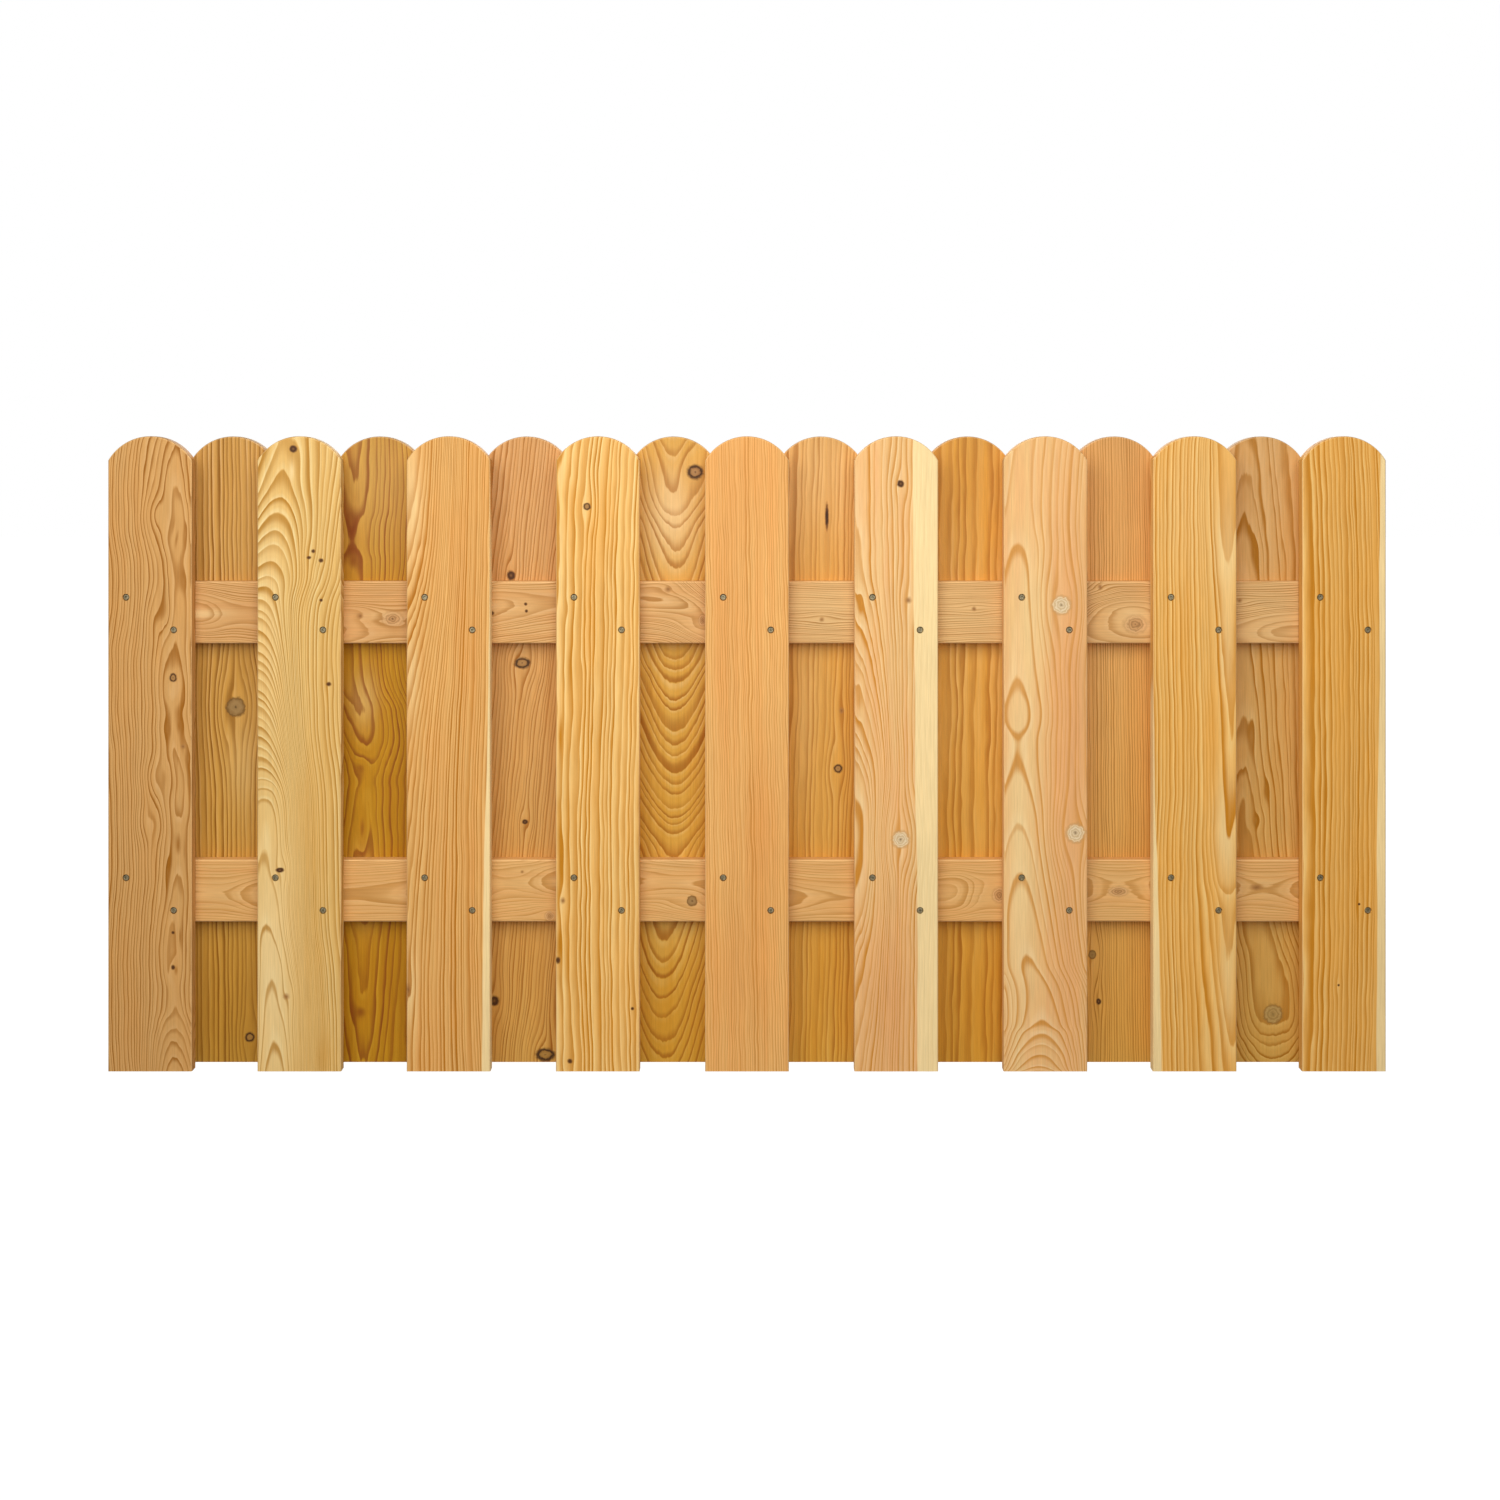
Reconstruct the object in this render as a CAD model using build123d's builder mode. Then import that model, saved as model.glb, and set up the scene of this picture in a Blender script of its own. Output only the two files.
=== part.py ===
from build123d import *
import os

# Two-sided picket fence panel: upright boards with arched heads, fixed to the front and the back
# of two rails, the back boards standing behind the gaps between the front ones.
# Millimetres, +Z up, front towards -Y. The origin is the middle of the lower rail's left end.

# Panel
PANEL_WIDTH = 1800
FRONT_BOARD_COUNT = 9

# Upright boards
BOARD_LENGTH = 895
BOARD_WIDTH = 118
BOARD_THICKNESS = 20
HEAD_RISE = 34
BOARD_EDGE_CHAMFER = 2.5

# Rails
RAIL_WIDTH = 88
RAIL_THICKNESS = 20
RAIL_EDGE_RADIUS = 3
RAIL_TO_BOARD_END = 250

# Places worked out from the sizes above
board_pitch = (PANEL_WIDTH - BOARD_WIDTH) / (FRONT_BOARD_COUNT - 1)
board_foot_z = -RAIL_TO_BOARD_END
shoulder_height = BOARD_LENGTH - HEAD_RISE
front_boards_back_y = -RAIL_THICKNESS / 2
back_boards_back_y = RAIL_THICKNESS / 2 + BOARD_THICKNESS
upper_rail_z = BOARD_LENGTH - 2 * RAIL_TO_BOARD_END


def write_piece(piece, name):
    """Label a finished piece and write its file."""
    piece.part.label = name
    export_step(piece.part, f"parts/{name}.step")


def make_board(name, centre_x, back_y):
    """An upright board: square foot, arched head, eased edges on both broad faces."""
    side = BOARD_WIDTH / 2
    back_face = Plane(origin=(centre_x, back_y, board_foot_z), x_dir=(1, 0, 0), z_dir=(0, -1, 0))
    with BuildPart() as board:
        with BuildSketch(back_face):
            with BuildLine():
                Polyline((-side, shoulder_height), (-side, 0), (side, 0), (side, shoulder_height))
                ThreePointArc((side, shoulder_height), (0, BOARD_LENGTH), (-side, shoulder_height))
            make_face()
        extrude(amount=BOARD_THICKNESS)
        broad_face_edges = board.faces().filter_by(Axis.Y).edges()
        foot_edges = broad_face_edges.group_by(Axis.Z)[0]
        chamfer(broad_face_edges - foot_edges, BOARD_EDGE_CHAMFER)
    write_piece(board, name)


def make_rail(name, centre_z):
    """A horizontal board on edge with rounded long edges, from one side of the panel to the other."""
    left_end = Plane(origin=(0, 0, centre_z), x_dir=(0, 1, 0), z_dir=(1, 0, 0))
    with BuildPart() as rail:
        with BuildSketch(left_end):
            RectangleRounded(RAIL_THICKNESS, RAIL_WIDTH, RAIL_EDGE_RADIUS)
        extrude(amount=PANEL_WIDTH)
    write_piece(rail, name)


os.makedirs("parts", exist_ok=True)

make_rail("lower_rail", 0)
make_rail("upper_rail", upper_rail_z)

for number in range(FRONT_BOARD_COUNT):
    front_x = BOARD_WIDTH / 2 + number * board_pitch
    make_board(f"front_board_{number + 1}", front_x, front_boards_back_y)

for number in range(FRONT_BOARD_COUNT - 1):
    back_x = BOARD_WIDTH / 2 + (number + 0.5) * board_pitch
    make_board(f"back_board_{number + 1}", back_x, back_boards_back_y)
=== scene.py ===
import math
import random
from dataclasses import dataclass

import bmesh
import bpy
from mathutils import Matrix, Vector


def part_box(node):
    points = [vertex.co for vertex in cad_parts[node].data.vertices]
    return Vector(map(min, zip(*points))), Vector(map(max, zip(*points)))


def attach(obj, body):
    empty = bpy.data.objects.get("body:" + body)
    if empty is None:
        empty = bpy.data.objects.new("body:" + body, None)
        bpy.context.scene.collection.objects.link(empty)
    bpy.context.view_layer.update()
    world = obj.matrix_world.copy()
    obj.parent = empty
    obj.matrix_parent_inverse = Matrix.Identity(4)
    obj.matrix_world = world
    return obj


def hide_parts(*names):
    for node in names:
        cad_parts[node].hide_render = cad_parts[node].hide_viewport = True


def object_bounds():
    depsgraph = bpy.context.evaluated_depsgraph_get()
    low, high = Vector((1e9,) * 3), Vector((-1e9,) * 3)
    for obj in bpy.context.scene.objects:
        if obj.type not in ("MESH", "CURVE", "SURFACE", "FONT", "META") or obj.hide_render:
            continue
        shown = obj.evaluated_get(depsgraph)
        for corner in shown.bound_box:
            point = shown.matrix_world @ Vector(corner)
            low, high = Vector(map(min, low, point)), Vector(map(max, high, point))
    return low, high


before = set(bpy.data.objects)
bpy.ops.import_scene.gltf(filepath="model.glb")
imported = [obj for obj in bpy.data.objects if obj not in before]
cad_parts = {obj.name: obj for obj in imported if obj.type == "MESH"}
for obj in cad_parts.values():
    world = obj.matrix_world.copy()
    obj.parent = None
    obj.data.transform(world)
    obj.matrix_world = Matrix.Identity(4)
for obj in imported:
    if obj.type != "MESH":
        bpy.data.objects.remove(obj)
cad_low, cad_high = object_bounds()

MM = 1000
# Which way along y a side of the panel faces
FRONT, BACK = -1, 1

# Boards and rails, in metres
HEAD_RISE = 0.034
EDGE_RADIUS = 0.0025
FOOT_EASE = 0.0008
HEAD_SEGMENTS = 36
EDGE_SEGMENTS = 4

# Screws, in metres: places from the crossing of board and rail, depth below the board's face
SCREW_SIDE = 0.0335
SCREW_LIFT = 0.023
SCREW_DEPTH = 0.0005
SCREW_HEAD_RADIUS = 0.0043
SCREW_SEGMENTS = 36
RECESS_LOBES = 6
LOBE_SWING = 0.12
# A head from its neck to the floor of its recess: share of the radius, depth below its top, lobes' swing
SCREW_PROFILE = (
    (0.55, 0.0040, 0.0),
    (0.98, 0.0016, 0.0),
    (1.00, 0.0013, 0.0),
    (0.74, 0.0, 0.0),
    (0.44, 0.0, LOBE_SWING),
    (0.40, 0.0026, LOBE_SWING),
)

# The pocket that a screw head presses into the wood, in metres
POCKET_RADIUS = 0.0048
POCKET_DEPTH = 0.0052
POCKET_LIP = 0.0004
POCKET_TAPER = 0.9
POCKET_SEGMENTS = 32
CUTTER_REACH = 0.0005

# Shading: edges sharper than these angles stay sharp, and large faces keep their own normals
WOOD_SHARP_ANGLE = math.radians(50)
SCREW_SHARP_ANGLE = math.radians(35)
LARGE_FACE_WEIGHT = 100

# Room above and below a curve's points: a share of their spread and a least amount
CURVE_ROOM = 0.2
CURVE_LEAST_ROOM = 0.1

# Where new points of curves and ramps wait to be placed
MIDWAY = 0.5
# Noise textures run from 0 to 1 about this
NOISE_MIDDLE = 0.5

# The direction in which a seed shifts a ripple
ACROSS, ALONG, DEEP = range(3)


@dataclass
class Ripple:
    """Soft noise about 0: its sizes in mm across, along and through a board, and how far it swings."""

    across: float
    along: float
    deep: float
    swing: float = 1.0
    detail: float = 2.0
    shifted: int = ACROSS


class Field:
    """A number that varies over a surface: a node socket that can be reckoned with like a number."""

    def __init__(self, surface, socket):
        self.surface = surface
        self.socket = socket

    def __add__(self, other):
        return self.surface.math("ADD", self, other)

    def __radd__(self, other):
        return self.surface.math("ADD", other, self)

    def __sub__(self, other):
        return self.surface.math("SUBTRACT", self, other)

    def __rsub__(self, other):
        return self.surface.math("SUBTRACT", other, self)

    def __mul__(self, other):
        return self.surface.math("MULTIPLY", self, other)

    def __truediv__(self, other):
        return self.surface.math("DIVIDE", self, other)


class Surface:
    """One material, whose node tree is written as arithmetic on fields."""

    def __init__(self, name):
        self.material = bpy.data.materials.new(name)
        self.material.use_nodes = True
        self.tree = self.material.node_tree
        self.shader = self.tree.nodes["Principled BSDF"]

    def feed(self, socket, value):
        """Link a field to a socket, or set the socket to a plain value."""
        if isinstance(value, Field):
            self.tree.links.new(value.socket, socket)
        else:
            socket.default_value = value

    def node(self, kind, inputs, output=0, **settings):
        """One output of a new node."""
        made = self.tree.nodes.new(kind)
        for name, value in settings.items():
            setattr(made, name, value)
        for name, value in inputs.items():
            self.feed(made.inputs[name], value)
        return Field(self, made.outputs[output])

    def math(self, operation, *values):
        return self.node("ShaderNodeMath", dict(enumerate(values)), operation=operation)

    def combine(self, operation, *values, output="Vector"):
        """Arithmetic on vectors and colours."""
        inputs = dict(enumerate(values))
        return self.node("ShaderNodeVectorMath", inputs, output=output, operation=operation)

    def vector(self, x, y, z):
        return self.node("ShaderNodeCombineXYZ", {0: x, 1: y, 2: z})

    def parts(self, vector):
        """The three parts of a vector."""
        return [self.node("ShaderNodeSeparateXYZ", {0: vector}, output=axis) for axis in range(3)]

    def position(self):
        """The point in the object's own frame, in metres."""
        return self.node("ShaderNodeTexCoord", {}, output="Object")

    def smooth(self, field, low, high):
        """0 below low and 1 above high, eased between."""
        ends = {"Value": field, "From Min": low, "From Max": high}
        return self.node("ShaderNodeMapRange", ends, interpolation_type="SMOOTHSTEP")

    def fade(self, field):
        """1 where the field is 0, fading away as it grows."""
        return self.math("EXPONENT", field * -1)

    def bell(self, *parts):
        """1 where every part is 0, fading away as they grow either way."""
        return self.fade(sum((part * part for part in parts), 0.0))

    def hypotenuse(self, first, second):
        return self.math("SQRT", first * first + second * second)

    def ripple(self, kind, place, seed=0.0):
        """One kind of ripple, at a place given across, along and through the board in mm."""
        sizes = (kind.across, kind.along, kind.deep)
        spot = [part / size for part, size in zip(place, sizes)]
        spot[kind.shifted] = spot[kind.shifted] + seed
        inputs = {"Vector": self.vector(*spot), "Scale": 1.0, "Detail": kind.detail}
        return (self.node("ShaderNodeTexNoise", inputs) - NOISE_MIDDLE) * kind.swing

    def line_noise(self, field):
        """Soft noise about 0 along one number."""
        inputs = {"W": field, "Scale": 1.0, "Detail": 1.0}
        return self.node("ShaderNodeTexNoise", inputs, noise_dimensions="1D") - NOISE_MIDDLE

    def dice(self, field):
        """A throw between 0 and 1 for each whole number."""
        return self.node("ShaderNodeTexWhiteNoise", {"W": field}, noise_dimensions="1D")

    def curve(self, share, points, length):
        """A smooth line through (distance, value) points, read at a share of the length."""
        values = [value for _, value in points]
        room = CURVE_ROOM * (max(values) - min(values)) + CURVE_LEAST_ROOM
        low = min(values) - room
        span = max(values) + room - low
        made = self.tree.nodes.new("ShaderNodeFloatCurve")
        line = made.mapping.curves[0]
        while len(line.points) < len(points):
            line.points.new(MIDWAY, MIDWAY)
        for bend, (distance, value) in zip(line.points, points):
            bend.location = (distance / length, (value - low) / span)
            bend.handle_type = "AUTO"
        made.mapping.update()
        self.feed(made.inputs["Value"], share)
        return Field(self, made.outputs[0]) * span + low

    def mix(self, share, first, second):
        """A blend of two colours. The node's colour sockets have no names of their own, only numbers."""
        inputs = {0: share, 6: first, 7: second}
        return self.node("ShaderNodeMix", inputs, output=2, data_type="RGBA")

    def ramp(self, field, stops):
        """Colour and cover read from (place, colour, cover) stops."""
        made = self.tree.nodes.new("ShaderNodeValToRGB")
        while len(made.color_ramp.elements) < len(stops):
            made.color_ramp.elements.new(MIDWAY)
        for element, (place, colour, cover) in zip(made.color_ramp.elements, stops):
            element.position = place
            element.color = (*colour[:3], cover)
        self.feed(made.inputs[0], field)
        return Field(self, made.outputs["Color"]), Field(self, made.outputs["Alpha"])

    def scale(self, colour, amount):
        inputs = {0: colour, "Scale": amount}
        return self.node("ShaderNodeVectorMath", inputs, operation="SCALE")


def paint(red, green, blue):
    """A colour as the eye reads it, 0 to 255, as a linear shader colour (the sRGB standard's curve)."""
    shares = [channel / 255 for channel in (red, green, blue)]
    linear = [share / 12.92 if share < 0.04045 else ((share + 0.055) / 1.055) ** 2.4 for share in shares]
    return (*linear, 1.0)


# Early wood, late wood, the flush that clouds them, and the pale start of a ring
TONES = {
    "tan": (paint(213, 161, 94), paint(158, 96, 10), paint(204, 146, 78), paint(224, 176, 114)),
    "straw": (paint(230, 188, 112), paint(180, 122, 26), paint(219, 168, 88), paint(248, 224, 162)),
    "orange": (paint(230, 174, 99), paint(184, 114, 18), paint(222, 155, 82), paint(240, 192, 120)),
    "peach": (paint(238, 181, 106), paint(192, 120, 32), paint(230, 161, 87), paint(246, 202, 132)),
    "honey": (paint(245, 196, 116), paint(196, 126, 14), paint(233, 171, 86), paint(252, 220, 152)),
    "rose": (paint(237, 189, 123), paint(204, 134, 42), paint(231, 167, 107), paint(249, 215, 160)),
    "amber": (paint(240, 183, 97), paint(200, 128, 20), paint(231, 165, 71), paint(250, 210, 134)),
    # The back boards' tones, olive to fawn, are darker and more saturated than the front boards': partly
    # their own tone, partly painted shade of the niches between the front boards
    "olive": (paint(193, 134, 16), paint(132, 60, 0), paint(174, 112, 0), paint(210, 156, 44)),
    "moss": (paint(210, 154, 70), paint(142, 88, 4), paint(192, 136, 50), paint(224, 176, 104)),
    "russet": (paint(217, 160, 90), paint(164, 98, 20), paint(204, 143, 72), paint(224, 174, 110)),
    "gold": (paint(217, 161, 66), paint(160, 92, 0), paint(203, 140, 38), paint(234, 190, 114)),
    "copper": (paint(222, 161, 74), paint(162, 92, 0), paint(210, 143, 44), paint(236, 184, 106)),
    "clay": (paint(216, 164, 92), paint(170, 106, 8), paint(204, 147, 72), paint(228, 182, 114)),
    "fawn": (paint(228, 170, 94), paint(170, 108, 30), paint(220, 159, 82), paint(234, 182, 112)),
    "sand": (paint(226, 175, 107), paint(182, 122, 42), paint(218, 158, 91), paint(240, 195, 131)),
    "rail": (paint(219, 169, 106), paint(166, 108, 34), paint(208, 151, 90), paint(232, 190, 134)),
}
SAPWOOD = paint(249, 222, 162)
PALE_WOOD = paint(244, 212, 150)
# A painted highlight along the eased edges
EDGE_HIGHLIGHT = paint(240, 200, 140)
# Painted shade on the back boards' front faces, in the niches between the front boards: tints, warmer
# towards the foot
NICHE_SHADE_TINT_FOOT = (0.95, 0.97, 0.66, 1.0)
NICHE_SHADE_TINT_HEAD = (0.98, 1.02, 1.28, 1.0)
# How much paler the rear face of a back board is than its front face, which carries painted shade
UNSHADED_REAR_FACE = (1.15, 1.3, 1.7)

# Each kind of knot: how hard it pushes the grain aside, and from its middle outwards
# (radii, colour, cover)
KNOTS = {
    "dark": (0.9, (
        (0.0, paint(128, 88, 44), 1.0), (0.4, paint(92, 56, 24), 1.0), (0.8, paint(72, 40, 14), 1.0),
        (1.0, paint(92, 54, 20), 0.9), (1.45, paint(150, 98, 42), 0.0),
    )),
    "eye": (0.9, (
        (0.0, paint(116, 80, 40), 1.0), (0.2, paint(176, 130, 74), 1.0),
        (0.6, paint(164, 116, 60), 1.0), (0.8, paint(64, 38, 14), 1.0), (1.0, paint(78, 46, 18), 0.9),
        (1.4, paint(150, 98, 42), 0.0),
    )),
    "pale": (0.95, (
        (0.0, paint(136, 112, 82), 1.0), (0.12, paint(190, 162, 122), 1.0),
        (0.3, paint(228, 202, 160), 1.0), (0.45, paint(206, 174, 128), 1.0),
        (0.62, paint(236, 212, 172), 1.0), (0.78, paint(210, 176, 128), 1.0),
        (0.9, paint(238, 210, 164), 0.95), (1.06, paint(200, 154, 98), 0.7),
        (1.35, paint(200, 146, 78), 0.0),
    )),
    "dull": (0.9, (
        (0.0, paint(104, 74, 36), 1.0), (0.16, paint(150, 116, 68), 0.95),
        (0.5, paint(160, 124, 74), 0.95), (0.8, paint(146, 110, 60), 0.95),
        (0.98, paint(112, 76, 30), 0.9), (1.2, paint(150, 100, 40), 0.0),
    )),
    "ashen": (0.9, (
        (0.0, paint(116, 88, 52), 1.0), (0.15, paint(164, 130, 82), 0.95),
        (0.4, paint(186, 150, 100), 0.95), (0.56, paint(160, 124, 76), 0.95),
        (0.76, paint(192, 156, 106), 0.95), (0.98, paint(150, 110, 60), 0.9),
        (1.25, paint(176, 126, 62), 0.0),
    )),
    "burl": (0.95, (
        (0.0, paint(112, 72, 34), 0.9), (0.2, paint(190, 138, 84), 0.8),
        (0.38, paint(138, 92, 46), 0.8), (0.56, paint(206, 154, 98), 0.8),
        (0.74, paint(156, 108, 60), 0.7), (0.95, paint(222, 174, 118), 0.6),
        (1.12, paint(172, 122, 70), 0.4), (1.45, paint(190, 138, 84), 0.0),
    )),
    "faint": (0.8, (
        (0.0, paint(132, 86, 40), 0.85), (0.5, paint(164, 112, 58), 0.8),
        (1.5, paint(176, 122, 66), 0.0),
    )),
    "pin": (0.5, (
        (0.0, paint(72, 40, 12), 1.0), (0.8, paint(96, 56, 18), 0.95), (1.5, paint(150, 96, 36), 0.0),
    )),
    "buried": (0.95, ()),
    "slit": (1.0, (
        (0.0, paint(52, 28, 8), 1.0), (0.6, paint(70, 38, 12), 1.0), (1.0, paint(120, 70, 22), 0.9),
        (1.5, paint(180, 112, 44), 0.0),
    )),
}
# How many of its radii a knot is drawn out to
KNOT_SPAN = 1.6
# How far through a ring the late wood of a flame lies
FLAME_AGE = 0.75
# How far from the heart line late wood runs thin
THIN_REACH = 42


def between(points, place):
    """The value at a place on the straight lines through (place, value) points."""
    for (low, low_value), (high, high_value) in zip(points, points[1:]):
        if place <= high:
            break
    return low_value + (high_value - low_value) * (place - low) / (high - low)


@dataclass
class Figure:
    """How the tree lies in one board, in mm: heights from the foot, sides from the middle.

    The rings turn on a heart line, (height, side) points, some depth behind the face. Climb counts the
    rings met along that line, as (height, rings) points, and fades to the base within reach of it.
    Early is the share of a ring before its late wood, and thin is how much larger that share is along
    the heart, as (height, share) points. Contrast is how dark the rings are drawn, wave is how far the
    grain swings to and fro, and rough is how far the rings stray from their ideal shape.
    Knots are (side, height, half width, half height, kind), and flames, where the cut lays late wood
    open, are (side, height, half width, half height). Glows are (side, height, half width, half height,
    strength): pale where the strength is above 0, flushed where it is below. Sap is the hand that the
    sapwood lies on, 1 for right, and how far from the middle it begins at the foot and at the head.
    """

    tone: str
    ring: float
    heart: tuple
    depth: float
    climb: tuple = ((0, 0), (1, 0))
    base: float = 0
    reach: float = 400
    early: float = 0.3
    thin: tuple = ()
    contrast: float = 0.85
    wave: float = 2.0
    rough: float = 1.0
    knots: tuple = ()
    flames: tuple = ()
    glows: tuple = ()
    sap: tuple = ()

    def rings_at(self, side, height):
        """The ring that a point of the face lies in, before its irregularities."""
        from_heart = side - between(self.heart, height)
        rings = (math.hypot(from_heart, self.depth) - self.depth) / self.ring
        fading = math.exp(-((from_heart / self.reach) ** 4))
        return rings + (between(self.climb, height) - self.base) * fading


FRONT_FIGURES = (
    Figure(
        tone="tan", ring=4.1, depth=24, base=5.6, reach=42, early=0.5, contrast=0.95, wave=5,
        heart=((0, 36), (150, 33), (300, 40), (450, 36), (560, 33), (690, 42), (790, 34), (895, 42)),
        climb=((0, 0.6), (8, 0.9), (29, 1.9), (50, 2.9), (67, 3.9), (110, 5.1), (150, 4.65), (222, 4.92),
               (313, 5.7), (400, 5.2), (480, 5.75), (509, 5.95), (535, 5.7), (577, 6.1), (657, 6.95),
               (700, 7.3), (760, 6.7), (820, 7.5), (846, 7.95), (895, 8.8)),
        knots=((33, 555, 4.5, 5.5, "eye"), (47, 458, 3, 3, "faint"), (33, 147, 2.5, 3, "pin"),
               (33, 196, 2, 2, "pin"), (18, 785, 7, 4, "buried"), (16, 640, 6, 4, "buried"),
               (16, 415, 8, 4, "buried"), (2, 352, 7, 4, "buried")),
        flames=((27, 772, 4, 22), (36, 750, 4, 22), (49, 757, 4, 18), (45, 528, 5, 22), (25, 482, 6, 18),
                (42, 488, 6, 14), (51, 440, 5, 14), (54, 408, 4, 22), (40, 320, 6, 26), (25, 281, 4, 26),
                (43, 190, 5, 24), (36, 143, 5, 16), (47, 690, 6, 14)),
    ),
    Figure(
        tone="straw", ring=6.5, depth=40, reach=56, early=0.36, contrast=0.85, rough=0.3,
        heart=((0, -34), (130, -38), (222, -47), (380, -50), (500, -62), (620, -62), (700, -44),
               (810, -27), (895, -15)),
        climb=((0, -31.4), (29, -31.05), (130, -30.05), (222, -29.05), (297, -28.05), (379, -27.05),
               (420, -24.5), (809, 0), (860, 1.2), (895, 1.8)),
        thin=((0, 0.4), (380, 0.38), (470, 0.04), (895, 0)),
        knots=((-8, 877, 4.5, 4.5, "dark"), (20, 733, 2.6, 2.4, "pin"), (14, 724, 2.8, 2.0, "pin"),
               (31, 720, 3.0, 2.6, "pin"), (31, 664, 2.2, 2.0, "pin"), (42, 546, 3.2, 2.6, "pin"),
               (-27, 284, 5, 3, "dark"), (-18, 106, 4, 4, "faint")),
        glows=((-38, 150, 34, 190, 0.75), (-9, 845, 4, 14, 0.9), (30, 300, 26, 320, -0.35),
               (-45, 640, 22, 160, 0.4), (34, 22, 10, 34, -0.9)),
    ),
    Figure(
        tone="orange", ring=5.0, depth=26, base=9, reach=75, contrast=1.0, sap=(1, 46, 62),
        heart=((0, -64), (300, -70), (590, -64), (895, -58)),
        climb=((0, 9), (150, 8), (300, 6.5), (494, 4), (600, 1.5), (720, -2), (800, -3.5), (895, -4.5)),
        knots=((-56, 115, 3, 8, "faint"),),
        glows=((-50, 800, 12, 80, 0.6), (-52, 560, 10, 60, 0.5), (-54, 120, 10, 60, 0.5)),
    ),
    Figure(
        tone="honey", ring=7.0, depth=26, early=0.2, contrast=1.0, wave=4,
        heart=((0, -66), (300, -70), (600, -64), (796, -60), (895, -52)),
        knots=((-15, 796, 4.5, 4.5, "eye"), (-49, 241, 3, 4, "faint"), (-56, 157, 3, 4, "pin"),
               (-39, 15, 3, 3, "pin"), (49, 89, 2, 2, "pin")),
        flames=((-52, 470, 3.5, 34), (-50, 300, 3.5, 38), (-53, 180, 3, 24)),
    ),
    Figure(
        tone="peach", ring=3.4, depth=40, early=0.35, contrast=0.68, wave=6, rough=1.4,
        heart=((0, -120), (895, -135)),
        glows=((20, 330, 26, 120, -0.8), (-10, 150, 40, 120, -0.6), (-28, 620, 16, 200, -0.5),
               (0, 840, 70, 110, -0.5)),
    ),
    Figure(
        tone="rose", ring=7.0, depth=24, base=0.5, reach=58, early=0.4, contrast=0.95, wave=3,
        sap=(1, 30, 23),
        heart=((0, -66), (200, -64), (330, -62), (500, -62), (657, -60), (895, -52)),
        climb=((0, -4), (150, -7), (250, -9.5), (330, -10.5), (400, -9.2), (480, -6.8), (560, -3.8),
               (640, -1.5), (720, 0), (895, 0.8)),
        knots=((6, 828, 4, 4.5, "dark"), (17, 664, 4, 4, "faint"), (6, 327, 11, 11, "pale")),
        flames=((-50, 657, 6, 22), (-52, 527, 5, 24)),
        glows=((-40, 700, 20, 120, 0.4), (-30, 300, 26, 120, 0.3), (-10, 100, 44, 150, -0.8)),
    ),
    Figure(
        tone="rose", ring=4.8, depth=80, base=8, reach=70, early=0.42, contrast=0.75, rough=0.2,
        sap=(1, 66, 58),
        heart=((0, -10), (70, -6), (157, -26), (300, -38), (480, -40), (737, -39), (895, -28)),
        climb=((0, -2.2), (8, -1.1), (23, -0.1), (37, 0.9), (55, 1.9), (70, 2.9), (157, 3.9), (240, 4.6),
               (350, 5.8), (462, 6.92), (500, 6.5), (540, 6.8), (565, 7.0), (650, 7.3), (734, 7.95),
               (773, 8.5), (830, 8.8), (895, 8.9)),
        thin=((0, 0), (90, 0.1), (160, 0.3), (895, 0.3)),
        knots=((22, 657, 12, 12, "pale"), (42, 336, 12, 12, "pale")),
        glows=((-36, 300, 18, 300, 0.7), (-20, 640, 20, 130, 0.5), (38, 500, 26, 330, -0.9),
               (30, 130, 26, 120, -0.5)),
    ),
    Figure(
        tone="amber", ring=5.4, depth=26, base=2.5, reach=44, early=0.25, contrast=0.95, wave=3,
        rough=0.6, sap=(-1, 47, 66),
        heart=((0, 54), (85, 52), (236, 47), (300, 47), (400, 51), (640, 48), (780, 47), (895, 52)),
        climb=((0, 5.6), (85, 5), (160, 4.5), (236, 4), (278, 3), (367, 2), (500, 1.5), (640, 1),
               (779, 0), (895, -0.7)),
        glows=((44, 740, 14, 80, 0.7), (46, 590, 12, 70, 0.6), (44, 340, 14, 80, 0.6),
               (46, 120, 14, 90, 0.4), (-10, 790, 60, 130, 0.25)),
    ),
    Figure(
        tone="amber", ring=5.2, depth=32, early=0.2, contrast=1.05, wave=3, sap=(1, 45, 52),
        heart=((0, -66), (450, -60), (895, -70)),
        knots=((21, 236, 1.5, 1.5, "pin"), (-8, 122, 1.5, 1.5, "pin")),
        glows=((0, 400, 60, 500, -0.3),),
    ),
)

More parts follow.
